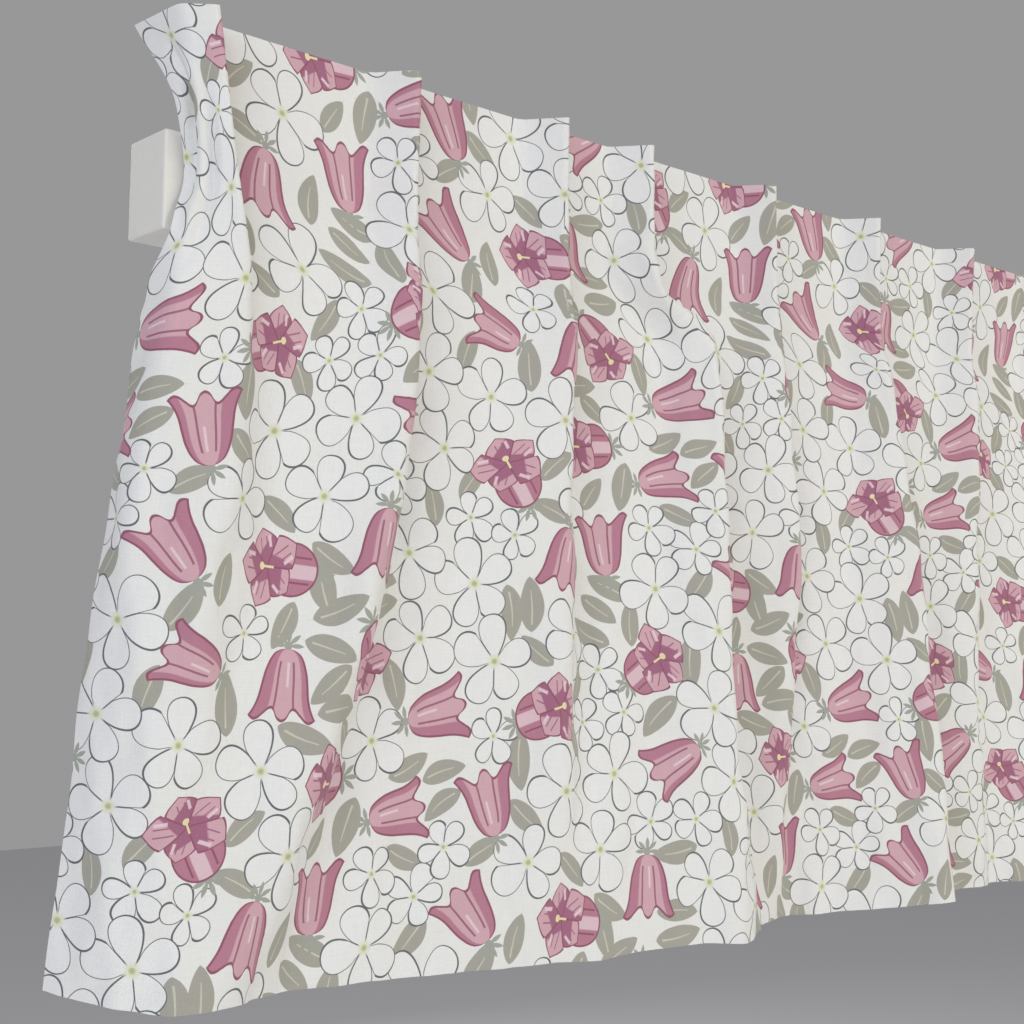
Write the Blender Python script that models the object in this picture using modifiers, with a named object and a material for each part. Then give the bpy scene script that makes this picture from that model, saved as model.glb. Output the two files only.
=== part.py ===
"""A pleated window valance of printed cloth, hung on a plain painted wooden rail.

Metres, +Z up. X runs along the rail, the front faces -Y, and the wall behind the rail is the
plane Y = 0. The origin is the middle of the rail's back. The cloth's own sizes are in
millimetres: x from the rail's left end, out towards the room from the rail's front face, and
down from the cloth's top edge.
"""

from collections import namedtuple

import bmesh
import bpy
import numpy as np

MM = 0.001

# The rail
RAIL_LENGTH = 1200.0
RAIL_DEPTH = 33.0
RAIL_HEIGHT = 47.0
RAIL_EDGE = 1.2

# The cloth
HEADING_RISE = 53.5  # the cloth's top edge above the rail's top
DROP = 450.0
THICKNESS = 1.5
TOUCH = 0.3  # between the cloth and the rail's face, where the cloth is fastened to it
HELD = 72.0  # the line that is fastened to the rail, down from the top edge
CORNER_LIFT = 11.0  # how much higher than the hem the two bottom corners hang

# How far out the cloth between the folds hangs from the rail's face, by distance down
REST_DOWN = (0.0, 50.0, HELD, 98.0, 140.0, DROP)
REST_OUT = (3.2, 3.2, TOUCH + THICKNESS / 2, 3.2, 4.0, 6.0)

# The five levels at which the fold lines are given, by distance down
TOP, FASTENED, LOW, MIDDLE, HEM = 0.0, HELD, 120.0, 230.0, DROP
LEVELS = (TOP, FASTENED, LOW, MIDDLE, HEM)
LEAD = (17.0, 18.0, 26.0, 45.0, 70.0)  # a panel leaves the rail this far before its ridge
FLATNESS = (1.0, 1.0, 0.7, 0.3, 0.3)  # 1 where the panel keeps to the rail until there
ROUNDING = (3.0, 3.5, 5.5, 9.0, 16.0)  # half the width over which a fold is rounded
TOP_RIDGE_OUT = 26.0
HELD_RIDGE_OUT = 24.0
TOP_RETURN = 3.0  # from a ridge to the foot of the next panel, along the rail

# A row for each fold, left to right: where its ridge runs (x at the top and where it is
# fastened, then x and out at each lower level), and where the cloth dips behind it at the middle
# level and at the hem
Fold = namedtuple(
    "Fold",
    "name top_x held_x low_x low_out mid_x mid_out hem_x hem_out dip_mid_x dip_mid_out dip_hem_x dip_hem_out",
)
FOLDS = (
    #    name          top   held    low      middle   hem      dip: middle  hem
    Fold("first",      12,   25,     37, 18,  26, 18,  -4, 6,    56, 5,   12, 14),
    Fold("second",     129,  130,    131, 27, 113, 31, 36, 20,   133, 5,  66, -1),
    Fold("third",      232,  235,    238, 27, 226, 36, 222, 41,  246, 12, 238, 41),
    Fold("short",      300,  304,    348, 33, 339, 52, 334, 70,  354, 4,  400, 20),
    Fold("fifth",      411,  415,    419, 28, 426, 32, 416, 22,  438, 8,  430, 10),
    Fold("sixth",      521,  523,    525, 34, 531, 50, 529, 71,  541, 5,  604, 16),
    Fold("seventh",    635,  633,    631, 31, 622, 35, 640, 28,  637, 6,  656, 10),
    Fold("eighth",     748,  748,    748, 32, 752, 50, 756, 70,  762, 6,  768, 10),
    Fold("ninth",      858,  860,    862, 29, 866, 38, 858, 33,  880, 7,  876, 12),
    Fold("tenth",      969,  969.5,  970, 33, 966, 47, 972, 72,  979, 6,  984, 9),
    Fold("eleventh",   1083, 1081.5, 1080, 30, 1077, 37, 1068, 36, 1092, 6, 1090, 8),
)

# The cloth's side edge, and the bend beside it where the end turns to the wall: a row for each
# level with distance down, x and out. The right end is the left one turned round.
SIDE_EDGE = (
    (0.0, -5.0, -23.0),
    (45.0, 4.0, 3.0),
    (HELD, 10.0, TOUCH + THICKNESS / 2),
    (98.0, 3.0, 3.2),
    (125.0, 0.0, -12.0),
    (230.0, -11.0, -24.0),
    (DROP, -32.0, -28.0),
)
SIDE_BEND = (
    (0.0, -3.0, 14.0),
    (45.0, 8.0, 12.0),
    (HELD, 13.0, 9.0),
    (125.0, 2.0, 5.0),
    (230.0, -10.0, 0.0),
    (DROP, -17.0, -11.0),
)

# The levels of the cloth's mesh
ROWS = (0, 25, 48, 60, HELD, 85, 98, 120, 150, 190, 230, 275, 320, 365, 408, DROP)

CLOTH_COLOUR = (0.86, 0.83, 0.80)
RAIL_COLOUR = (0.80, 0.79, 0.76)


def smooth_through(places, values, at):
    """A smooth curve through the values that never swings past them, read at one place."""
    places = np.asarray(places, float)
    values = np.asarray(values, float)
    slopes = np.diff(values) / np.diff(places)
    tangents = np.empty(len(values))
    tangents[0] = slopes[0]
    tangents[-1] = slopes[-1]
    for i in range(1, len(values) - 1):
        before, after = slopes[i - 1], slopes[i]
        same_way = before * after > 0
        tangents[i] = 2 * before * after / (before + after) if same_way else 0.0
    i = int(np.clip(np.searchsorted(places, at) - 1, 0, len(slopes) - 1))
    width = places[i + 1] - places[i]
    t = (at - places[i]) / width
    from_left = (2 * t**3 - 3 * t**2 + 1) * values[i] + (t**3 - 2 * t**2 + t) * width * tangents[i]
    from_right = (3 * t**2 - 2 * t**3) * values[i + 1] + (t**3 - t**2) * width * tangents[i + 1]
    return from_left + from_right


def read_line(rows, down):
    """The (x, out) of a line given as rows of distance down, x and out."""
    levels, xs, outs = zip(*rows)
    return smooth_through(levels, xs, down), smooth_through(levels, outs, down)


def ridge_line(fold):
    return (
        (TOP, fold.top_x, TOP_RIDGE_OUT),
        (FASTENED, fold.held_x, HELD_RIDGE_OUT),
        (LOW, fold.low_x, fold.low_out),
        (MIDDLE, fold.mid_x, fold.mid_out),
        (HEM, fold.hem_x, fold.hem_out),
    )


def dip_line(fold):
    """The line behind a ridge: on the rail in the heading, then where the table says."""
    rest = [smooth_through(REST_DOWN, REST_OUT, level) for level in (TOP, FASTENED, LOW)]
    return (
        (TOP, fold.top_x + TOP_RETURN, rest[0]),
        (FASTENED, fold.held_x + 1.5 * TOP_RETURN, rest[1]),
        (LOW, fold.low_x + 2.5 * TOP_RETURN, rest[2]),
        (MIDDLE, fold.dip_mid_x, fold.dip_mid_out),
        (HEM, fold.dip_hem_x, fold.dip_hem_out),
    )


def panel_bend(dip, ridge, down):
    """Where the panel between a dip and the next ridge starts to come forward."""
    lead = smooth_through(LEVELS, LEAD, down)
    flatness = smooth_through(LEVELS, FLATNESS, down)
    x = max(ridge[0] - lead, (dip[0] + ridge[0]) / 2)
    share = (x - dip[0]) / (ridge[0] - dip[0])
    return x, dip[1] + (1 - flatness) * share * (ridge[1] - dip[1])


def section_corners(down):
    """The corners of the cloth's level section, from its left edge to its right one."""
    corners = [read_line(SIDE_EDGE, down), read_line(SIDE_BEND, down)]
    dip = None
    for fold in FOLDS:
        ridge = read_line(ridge_line(fold), down)
        if dip:
            corners.append(panel_bend(dip, ridge, down))
        corners.append(ridge)
        dip = read_line(dip_line(fold), down)
        # Until the fastened line and at the rail's lower edge, the cloth follows the rail
        rest = smooth_through(REST_DOWN, REST_OUT, down)
        if down < LOW:
            dip = (dip[0], rest)
        corners.append(dip)
    for line in (SIDE_BEND, SIDE_EDGE):
        x, out = read_line(line, down)
        corners.append((RAIL_LENGTH - x, out))
    return np.array(corners)


def running_length(points):
    steps = np.linalg.norm(np.diff(points, axis=0), axis=1)
    return np.concatenate([[0.0], np.cumsum(steps)])


def mean_over(corners, lengths, start, end):
    """The mean point of the cornered line between two distances along it."""
    inner = lengths[(lengths > start) & (lengths < end)]
    stops = np.concatenate([[start], inner, [end]])
    points = np.stack([np.interp(stops, lengths, corners[:, axis]) for axis in (0, 1)], axis=1)
    halves = (points[1:] + points[:-1]) / 2
    return (halves * np.diff(stops)[:, None]).sum(axis=0) / (end - start)


def column_places(lengths, rounding):
    """Distances along the cornered line: round each corner, and between corners far apart."""
    places = [0.0]
    for i in range(1, len(lengths) - 1):
        is_ridge = i % 3 == 2
        steps = (-1.0, -0.5, 0.0, 0.5, 1.0) if is_ridge else (-1.0, 0.0, 1.0)
        room = 0.45 * min(lengths[i] - lengths[i - 1], lengths[i + 1] - lengths[i])
        reach = min(rounding, room)
        is_foot = i % 3 == 0
        places += [lengths[i] + step * reach for step in steps]
        if is_foot:
            places.append((lengths[i] + lengths[i + 1]) / 2)
    return places + [lengths[-1]]


def section_points(down):
    """The (x, out) points of one row of the cloth's mesh."""
    corners = section_corners(down)
    lengths = running_length(corners)
    rounding = smooth_through(LEVELS, ROUNDING, down)
    points = [corners[0]]
    for place in column_places(lengths, rounding)[1:-1]:
        nearest = np.argmin(abs(lengths - place))
        window = min(rounding, place, lengths[-1] - place)
        points.append(mean_over(corners, lengths, place - window, place + window))
    points.append(corners[-1])
    return np.array(points)


def cloth_points():
    """A grid of points in metres: a row for each level, a column for each place along it."""
    held = section_points(HELD)
    middle = RAIL_LENGTH / 2
    grid = []
    for down in ROWS:
        row = section_points(down)
        hung = max(down - HELD, 0.0)
        # Cloth that leans out from the rail hangs a little less low
        lean = (row[:, 1] - held[:, 1]) ** 2 / (2 * hung) if hung else 0.0 * row[:, 1]
        beyond = np.clip(abs(row[:, 0] - middle) - (middle - 10.0), 0.0, None) / 50.0
        lift = CORNER_LIFT * (hung / (DROP - HELD)) * np.minimum(beyond, 1.0) ** 1.5
        z = HEADING_RISE - down + lean + lift
        grid.append(np.column_stack([row[:, 0] - middle, -RAIL_DEPTH - row[:, 1], z + RAIL_HEIGHT / 2]))
    return np.array(grid) * MM


def new_material(name, colour, roughness):
    material = bpy.data.materials.new(name)
    material.use_nodes = True
    shader = material.node_tree.nodes["Principled BSDF"]
    shader.inputs["Base Color"].default_value = (*colour, 1.0)
    shader.inputs["Roughness"].default_value = roughness
    shader.inputs["Metallic"].default_value = 0.0
    return material


def add_object(collection, name, mesh, material):
    mesh.materials.append(material)
    thing = bpy.data.objects.new(name, mesh)
    collection.objects.link(thing)
    return thing


def add_rail(collection):
    """The wooden rail, with its long edges eased."""
    mesh = bpy.data.meshes.new("rail")
    shape = bmesh.new()
    bmesh.ops.create_cube(shape, size=1.0)
    size = (RAIL_LENGTH * MM, RAIL_DEPTH * MM, RAIL_HEIGHT * MM)
    bmesh.ops.scale(shape, vec=size, verts=shape.verts)
    bmesh.ops.translate(shape, vec=(0.0, -RAIL_DEPTH * MM / 2, 0.0), verts=shape.verts)
    shape.to_mesh(mesh)
    shape.free()
    rail = add_object(collection, "rail", mesh, new_material("rail_paint", RAIL_COLOUR, 0.5))
    bevel = rail.modifiers.new("eased_edges", "BEVEL")
    bevel.width = RAIL_EDGE * MM
    bevel.segments = 2
    return rail


def add_cloth(collection):
    """The valance: one sheet with its pleats, open at both sides and at the hem."""
    grid = cloth_points()
    mesh = bpy.data.meshes.new("valance_cloth")
    shape = bmesh.new()
    corners = [[shape.verts.new(point) for point in row] for row in grid]
    for upper, lower in zip(corners, corners[1:]):
        for i in range(len(upper) - 1):
            shape.faces.new((upper[i], lower[i], lower[i + 1], upper[i + 1]))
    shape.to_mesh(mesh)
    shape.free()
    mesh.shade_smooth()
    material = new_material("valance_cotton", CLOTH_COLOUR, 0.9)
    cloth = add_object(collection, "valance_cloth", mesh, material)
    solid = cloth.modifiers.new("cloth_thickness", "SOLIDIFY")
    solid.thickness = THICKNESS * MM
    solid.offset = 0.0
    return cloth


def main():
    for thing in list(bpy.data.objects):
        bpy.data.objects.remove(thing, do_unlink=True)
    collection = bpy.data.collections.new("window_valance")
    bpy.context.scene.collection.children.link(collection)
    add_rail(collection)
    add_cloth(collection)


main()
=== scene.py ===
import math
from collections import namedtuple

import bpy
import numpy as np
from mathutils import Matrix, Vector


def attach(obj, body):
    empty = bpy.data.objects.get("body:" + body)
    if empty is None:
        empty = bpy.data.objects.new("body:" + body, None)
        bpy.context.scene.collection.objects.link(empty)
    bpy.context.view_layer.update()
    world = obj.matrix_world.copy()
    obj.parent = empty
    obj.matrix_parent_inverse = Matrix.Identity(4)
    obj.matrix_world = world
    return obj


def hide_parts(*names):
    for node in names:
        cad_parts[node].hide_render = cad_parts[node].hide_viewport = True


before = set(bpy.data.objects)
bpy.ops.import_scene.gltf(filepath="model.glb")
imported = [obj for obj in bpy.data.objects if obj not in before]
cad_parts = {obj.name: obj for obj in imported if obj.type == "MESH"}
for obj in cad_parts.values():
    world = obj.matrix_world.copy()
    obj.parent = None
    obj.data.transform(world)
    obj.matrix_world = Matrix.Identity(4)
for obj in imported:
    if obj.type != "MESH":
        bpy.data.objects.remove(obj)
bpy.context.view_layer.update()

# The looks of a pleated window valance of printed cotton, hung on a painted wooden rail.
#
# Scene units are metres. The cloth is worked out in millimetres: x from the rail's left end, out
# from the rail's front face, and down from the cloth's top edge. On the flat cloth, across runs
# from its left side edge and down from its top edge.

MM = 0.001

# --- The rail and the cloth, as in the CAD ---
RAIL_LENGTH = 1200.0
RAIL_DEPTH = 33.0
RAIL_HEIGHT = 47.0

HEADING_RISE = 53.5  # from the rail's top to the cloth's
DROP = 450.0
HELD = 72.0  # how far down the cloth is fastened to the rail
HELD_OUT = 1.05
# The side edges' lower corners hang this much higher, from just inside the rail's ends outwards
CORNER_LIFT = 11.0
CORNER_LIFT_FROM = 10.0
CORNER_LIFT_OVER = 50.0

# How far out the cloth's dips lie, at distances down
REST_DOWN = (0.0, 50.0, HELD, 98.0, 140.0, DROP)
REST_OUT = (3.2, 3.2, HELD_OUT, 3.2, 4.0, 6.0)

TOP, LOW, MIDDLE, HEM = 0.0, 120.0, 230.0, DROP
LEVELS = (TOP, HELD, LOW, MIDDLE, HEM)
LEAD = (17.0, 18.0, 26.0, 45.0, 70.0)  # a panel leaves the rail this far before its ridge
FLATNESS = (1.0, 1.0, 0.7, 0.3, 0.3)  # 1 where the panel keeps to the rail until there
ROUNDING = (3.0, 3.5, 5.5, 9.0, 16.0)  # how far each way a fold is rounded
TOP_RIDGE_OUT = 26.0
HELD_RIDGE_OUT = 24.0
RETURNS = (3.0, 4.5, 7.5)  # a dip lies this far past its ridge, at the first three levels

# A row for each fold: its ridge at the top and where it is fastened (x), then at each lower level
# (x, out), and the dip behind it at the middle level and at the hem (x, out)
FOLDS = (
    (12, 25, 37, 18, 26, 18, -4, 6, 56, 5, 12, 14),
    (129, 130, 131, 27, 113, 31, 36, 20, 133, 5, 66, -1),
    (232, 235, 238, 27, 226, 36, 222, 41, 246, 12, 238, 41),
    (300, 304, 348, 33, 339, 52, 334, 70, 354, 4, 400, 20),
    (411, 415, 419, 28, 426, 32, 416, 22, 438, 8, 430, 10),
    (521, 523, 525, 34, 531, 50, 529, 71, 541, 5, 604, 16),
    (635, 633, 631, 31, 622, 35, 640, 28, 637, 6, 656, 10),
    (748, 748, 748, 32, 752, 50, 756, 70, 762, 6, 768, 10),
    (858, 860, 862, 29, 866, 38, 858, 33, 880, 7, 876, 12),
    (969, 969.5, 970, 33, 966, 47, 972, 72, 979, 6, 984, 9),
    (1083, 1081.5, 1080, 30, 1077, 37, 1068, 36, 1092, 6, 1090, 8),
)
# The side edges and the bends beside them: down, x in from the rail's end, out
SIDE_EDGE = (
    (0.0, -5.0, -23.0),
    (45.0, 4.0, 3.0),
    (HELD, 10.0, HELD_OUT),
    (98.0, 3.0, 3.2),
    (125.0, 0.0, -12.0),
    (230.0, -11.0, -24.0),
    (DROP, -32.0, -28.0),
)
SIDE_BEND = (
    (0.0, -3.0, 14.0),
    (45.0, 8.0, 12.0),
    (HELD, 13.0, 9.0),
    (125.0, 2.0, 5.0),
    (230.0, -10.0, 0.0),
    (DROP, -17.0, -11.0),
)

# --- The fine sheet ---
FLAT_WIDTH = 1520.0
SHEET_THICKNESS = 0.7
SAMPLE = 0.5  # step along a level section while it is rounded
ROW_STEP = 4.4
COLUMN_STEP = 4.6
FOLD_COLUMN_STEP = 2.4
FOLD_COLUMN_REACH = 14.0  # how far each side of a heading fold the columns stand closer
END_COLUMN_REACH = 34.0  # how far from each side edge they do

# The print's repeat: half-drop, so each column of repeats hangs half a repeat below the last
REPEAT_WIDTH = 190.0
REPEAT_HEIGHT = 352.0

# Creases laid on the flat cloth: start (across, down), end (across, down), half-width
# and height. A positive height is a ridge towards the room, a negative one a trough.
CREASES = (
    # The short fourth pleat slips sideways: a small fold, and soft ones that run down from it
    (395, 56, 412, 80, 4.0, 3.0),
    (424, 78, 470, 142, 5.0, -2.6),
    (432, 66, 488, 130, 5.5, 2.8),
    (456, 70, 508, 120, 6.0, -2.2),
    (380, 84, 396, 168, 8.0, -2.2),
    (478, 110, 512, 176, 7.0, 1.8),
    # The left end is pinched at the rail: a deep groove, and smaller creases beside it
    (19, 12, 5, 88, 3.4, -6.4),
    (28, 18, 11, 108, 3.8, 3.2),
    (34, 40, 16, 124, 3.4, -2.0),
    (41, 24, 30, 98, 5.0, 1.4),
    (1, 60, 15, 104, 3.6, 1.6),
    # Drag lines below the other pleats
    (172, 82, 140, 156, 9.0, 1.5),
    (206, 86, 232, 170, 10.0, -1.5),
    (300, 84, 282, 168, 9.0, 1.6),
    (340, 100, 356, 190, 8.0, -1.4),
    (556, 84, 530, 170, 9.0, 1.6),
    (640, 90, 668, 176, 9.0, -1.6),
    (700, 82, 668, 164, 8.0, 1.5),
    (836, 84, 812, 176, 9.0, 1.6),
    (910, 92, 930, 170, 9.0, -1.5),
    (980, 82, 958, 160, 8.0, 1.5),
    (1118, 84, 1092, 172, 9.0, 1.7),
    (1190, 92, 1214, 168, 8.0, -1.4),
    (1260, 84, 1236, 170, 9.0, 1.5),
    (1392, 82, 1370, 162, 9.0, 1.6),
    # The right end is pinched like the left one
    (1500, 14, 1514, 92, 3.4, -5.6),
    (1491, 20, 1507, 106, 4.0, 2.8),
    # Long soft troughs and ridges lower down
    (64, 210, 40, 400, 14.0, -2.2),
    (98, 260, 120, 440, 15.0, 1.8),
    (250, 200, 262, 420, 14.0, -1.8),
    (330, 260, 316, 446, 13.0, 1.8),
    (430, 230, 404, 440, 15.0, -2.4),
    (560, 240, 590, 446, 14.0, 2.0),
    (716, 220, 700, 430, 14.0, -2.0),
    (850, 250, 872, 444, 15.0, 2.0),
    (1010, 220, 996, 440, 14.0, -2.2),
    (1150, 260, 1170, 446, 14.0, 1.9),
    (1310, 230, 1290, 440, 14.0, -2.0),
    (1450, 250, 1466, 446, 13.0, 1.8),
)
CREASE_TAPER = 0.8  # the lower, the sooner a crease is at its full height

# The side edges roll back a little towards the wall, more and more below where they are fastened
ROLL_WIDTH = 16.0
ROLL_DEPTH = 1.5
ROLL_GROWS_OVER = 150.0

# The slight unrest of hanging cotton: turns for each millimetre across and down, height, phase
WAVES = (
    (0.0211, 0.0040, 0.9, 0.0),
    (0.0330, -0.0070, 0.6, 1.7),
    (0.0470, 0.0110, 0.4, 4.1),
    (0.0120, 0.0180, 0.5, 2.6),
    (0.0740, -0.0160, 0.2, 5.2),
)
WAVES_START = HELD + 10.0
WAVES_GROW_OVER = 120.0

# The cloth is gathered beside each side edge: a strip of it lies on a stretch of the section that
# is this much shorter than the strip, at distances down
GATHER_DOWN = (TOP, 45.0, 98.0, 125.0, DROP)
GATHER = (0.0, 25.0, 20.0, 0.0, 0.0)
GATHER_WIDTH = 54.0  # how wide the strip is

# --- The print ---
SEED = 2
# The motifs of one repeat, the highest last: kind, how many and their sizes
FLOWERS_AND_BELLS = (
    ("flower", 12, (15.0, 17.5)),
    ("flower", 17, (22.0, 25.5)),
    ("closed_bell", 10, (19.0, 21.0)),
    ("open_bell", 6, (21.5, 23.0)),
)
# How far apart the middles of two of them keep, as a share of their radii together
FLOWERS_APART = 0.85
MIXED_APART = 0.90
BELLS_APART = 1.3
PUSHES = 500
PUSH = 0.3  # the share of an overlap that one push clears

LEAVES = 44
LEAF_SIZES = (11.5, 15.0)
LEAF_BREADTH = 10.5
LEAF_REACH = 0.7  # from its middle to where its tips need room, as a share of its size
LEAF_TURNS = 12  # how many ways to lie are tried for a leaf
COVER = 0.72  # the share of a flower's or a bell's radius that a leaf keeps clear of
SPOT_STEP = 4.0

GROUND = (236, 236, 234)
PETAL = (238, 238, 238)
OUTLINE = (106, 110, 113)
CENTRE_GLOW = (226, 228, 196)
CENTRE_DOT = (180, 182, 132)
LEAF = (172, 170, 160)
VEIN = (212, 210, 196)
SEPAL = (168, 171, 162)
BELL = (214, 173, 184)
BELL_LIGHT = (236, 212, 220)
BELL_DARK = (187, 130, 150)
BELL_LINE = (152, 94, 114)
BELL_DEEP = (168, 110, 136)
PISTIL = (238, 226, 180)


def smooth_through(places, values, at):
    """A smooth curve through the values that never swings past them, read at one place."""
    places = np.asarray(places, float)
    values = np.asarray(values, float)
    slopes = np.diff(values) / np.diff(places)
    tangents = np.empty(len(values))
    tangents[0] = slopes[0]
    tangents[-1] = slopes[-1]
    for i in range(1, len(values) - 1):
        before, after = slopes[i - 1], slopes[i]
        same_way = before * after > 0
        tangents[i] = 2 * before * after / (before + after) if same_way else 0.0
    i = int(np.clip(np.searchsorted(places, at) - 1, 0, len(slopes) - 1))
    width = places[i + 1] - places[i]
    t = (at - places[i]) / width
    from_left = (2 * t**3 - 3 * t**2 + 1) * values[i] + (t**3 - 2 * t**2 + t) * width * tangents[i]
    from_right = (3 * t**2 - 2 * t**3) * values[i + 1] + (t**3 - t**2) * width * tangents[i + 1]
    return from_left + from_right


def read_line(rows, down):
    """The (x, out) of a line given as rows of distance down, x and out."""
    levels, xs, outs = zip(*rows)
    return smooth_through(levels, xs, down), smooth_through(levels, outs, down)


def ridge_line(fold):
    top_x, held_x, low_x, low_out, mid_x, mid_out, hem_x, hem_out = fold[:8]
    return (
        (TOP, top_x, TOP_RIDGE_OUT),
        (HELD, held_x, HELD_RIDGE_OUT),
        (LOW, low_x, low_out),
        (MIDDLE, mid_x, mid_out),
        (HEM, hem_x, hem_out),
    )


def dip_line(fold):
    """The line behind a ridge: on the rail in the heading, then where the table says."""
    upper = [
        (level, x + past, smooth_through(REST_DOWN, REST_OUT, level))
        for level, x, past in zip(LEVELS, fold[:3], RETURNS)
    ]
    mid_x, mid_out, hem_x, hem_out = fold[8:]
    return (*upper, (MIDDLE, mid_x, mid_out), (HEM, hem_x, hem_out))


def panel_bend(dip, ridge, down):
    """Where the panel between a dip and the next ridge starts to come forward."""
    lead = smooth_through(LEVELS, LEAD, down)
    flatness = smooth_through(LEVELS, FLATNESS, down)
    x = max(ridge[0] - lead, (dip[0] + ridge[0]) / 2)
    share = (x - dip[0]) / (ridge[0] - dip[0])
    return x, dip[1] + (1 - flatness) * share * (ridge[1] - dip[1])


def section_corners(down):
    """The corners of the cloth's level section, from its left edge to its right one."""
    corners = [read_line(SIDE_EDGE, down), read_line(SIDE_BEND, down)]
    rest = smooth_through(REST_DOWN, REST_OUT, down)
    dip = None
    for fold in FOLDS:
        ridge = read_line(ridge_line(fold), down)
        if dip:
            corners.append(panel_bend(dip, ridge, down))
        corners.append(ridge)
        dip = read_line(dip_line(fold), down)
        if down < LOW:
            dip = (dip[0], rest)
        corners.append(dip)
    for line in (SIDE_BEND, SIDE_EDGE):
        x, out = read_line(line, down)
        corners.append((RAIL_LENGTH - x, out))
    return np.array(corners)


def running_length(points):
    steps = np.linalg.norm(np.diff(points, axis=0), axis=1)
    return np.concatenate([[0.0], np.cumsum(steps)])


def along(points, places):
    """Points at the given distances along a line."""
    lengths = running_length(points)
    return np.stack([np.interp(places, lengths, points[:, axis]) for axis in (0, 1)], axis=1)


def rounded_section(down, shares):
    """The level section with its corners rounded, read at shares of its length."""
    corners = section_corners(down)
    fine = along(corners, np.arange(0.0, running_length(corners)[-1], SAMPLE))
    reach = int(round(math.sqrt(2) * smooth_through(LEVELS, ROUNDING, down) / SAMPLE))
    weights = reach + 1.0 - abs(np.arange(-reach, reach + 1))
    weights /= weights.sum()
    # Turned round its two ends, so that they stay where they are
    before = 2 * fine[0] - fine[reach:0:-1]
    after = 2 * fine[-1] - fine[-2 : -reach - 2 : -1]
    padded = np.concatenate([before, fine, after])
    soft = np.stack([np.convolve(padded[:, axis], weights, "valid") for axis in (0, 1)], axis=1)
    return along(soft, shares * running_length(soft)[-1])


# --- The grid of the sheet ---
def evenly(stops, step_between):
    """Places that include every stop, with even steps between one stop and the next."""
    places = [stops[0]]
    for start, end in zip(stops, stops[1:]):
        count = max(int(math.ceil((end - start) / step_between(start, end) - 1e-6)), 1)
        places += list(start + (end - start) * np.arange(1, count + 1) / count)
    return np.array(places)


def heading_folds():
    """How far across the flat cloth each heading fold lies."""
    corners = section_corners(TOP)
    lengths = running_length(corners)
    # After the side's two corners, every third corner is a ridge
    share = lengths[2 : 2 + 3 * len(FOLDS) : 3] / lengths[-1]
    return share * FLAT_WIDTH


def column_places():
    """Distances across the flat cloth: closer together at the heading folds and at the ends."""
    folds = heading_folds()
    stops = set(np.arange(0.0, FLAT_WIDTH + 1, REPEAT_WIDTH))
    stops |= {END_COLUMN_REACH, FLAT_WIDTH - END_COLUMN_REACH}
    for fold in folds:
        stops |= {max(fold - FOLD_COLUMN_REACH, 0.0), fold + FOLD_COLUMN_REACH}
    stops = sorted(stops)

    def step(start, end):
        at = (start + end) / 2
        near_fold = min(abs(folds - at)) < FOLD_COLUMN_REACH
        near_end = min(at, FLAT_WIDTH - at) < END_COLUMN_REACH
        return FOLD_COLUMN_STEP if near_fold or near_end else COLUMN_STEP

    return evenly(stops, step)


def row_places():
    half = REPEAT_HEIGHT / 2
    return evenly([0.0, half, 2 * half, DROP], lambda start, end: ROW_STEP)


def creased(across, down):
    """How far the listed creases lift the cloth at each place of the grid."""
    lift = np.zeros(np.broadcast(across, down).shape)
    for start_across, start_down, end_across, end_down, width, height in CREASES:
        run = np.array([end_across - start_across, end_down - start_down])
        length = np.linalg.norm(run)
        run = run / length
        from_start = (across - start_across, down - start_down)
        share = (from_start[0] * run[0] + from_start[1] * run[1]) / length
        aside = from_start[0] * run[1] - from_start[1] * run[0]
        taper = np.sin(np.pi * np.clip(share, 0, 1)) ** CREASE_TAPER
        lift += height * taper * np.exp(-((aside / width) ** 2))
    return lift


def rolled(across, down):
    """How far the side edges roll back below the rail."""
    from_edge = np.minimum(across, FLAT_WIDTH - across)
    share = np.clip(1 - from_edge / ROLL_WIDTH, 0, 1)
    return -ROLL_DEPTH * share**2 * np.clip((down - HELD) / ROLL_GROWS_OVER, 0, 1)


def unevenness(across, down):
    """Long soft waves that run mostly downwards."""
    total = 0.0
    for by_across, by_down, height, phase in WAVES:
        total = total + height * np.sin(2 * np.pi * (by_across * across + by_down * down) + phase)
    return total * np.clip((down - WAVES_START) / WAVES_GROW_OVER, 0, 1)


def grid_normals(points):
    """Unit normals of a grid of points, towards the room."""
    across = np.gradient(points, axis=1)
    down = np.gradient(points, axis=0)
    normals = np.cross(down, across)
    return normals / np.linalg.norm(normals, axis=2, keepdims=True)


def section_shares(across, down):
    """Where each place across the cloth lies on a level section, as a share of its length."""
    middle = FLAT_WIDTH / 2
    from_middle = across - middle
    from_edge = middle - abs(from_middle)
    drawn = np.minimum(from_edge / GATHER_WIDTH, 1) * abs(from_middle) / middle
    slide = smooth_through(GATHER_DOWN, GATHER, down) * drawn * np.sign(from_middle)
    return (across + slide) / FLAT_WIDTH


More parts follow.
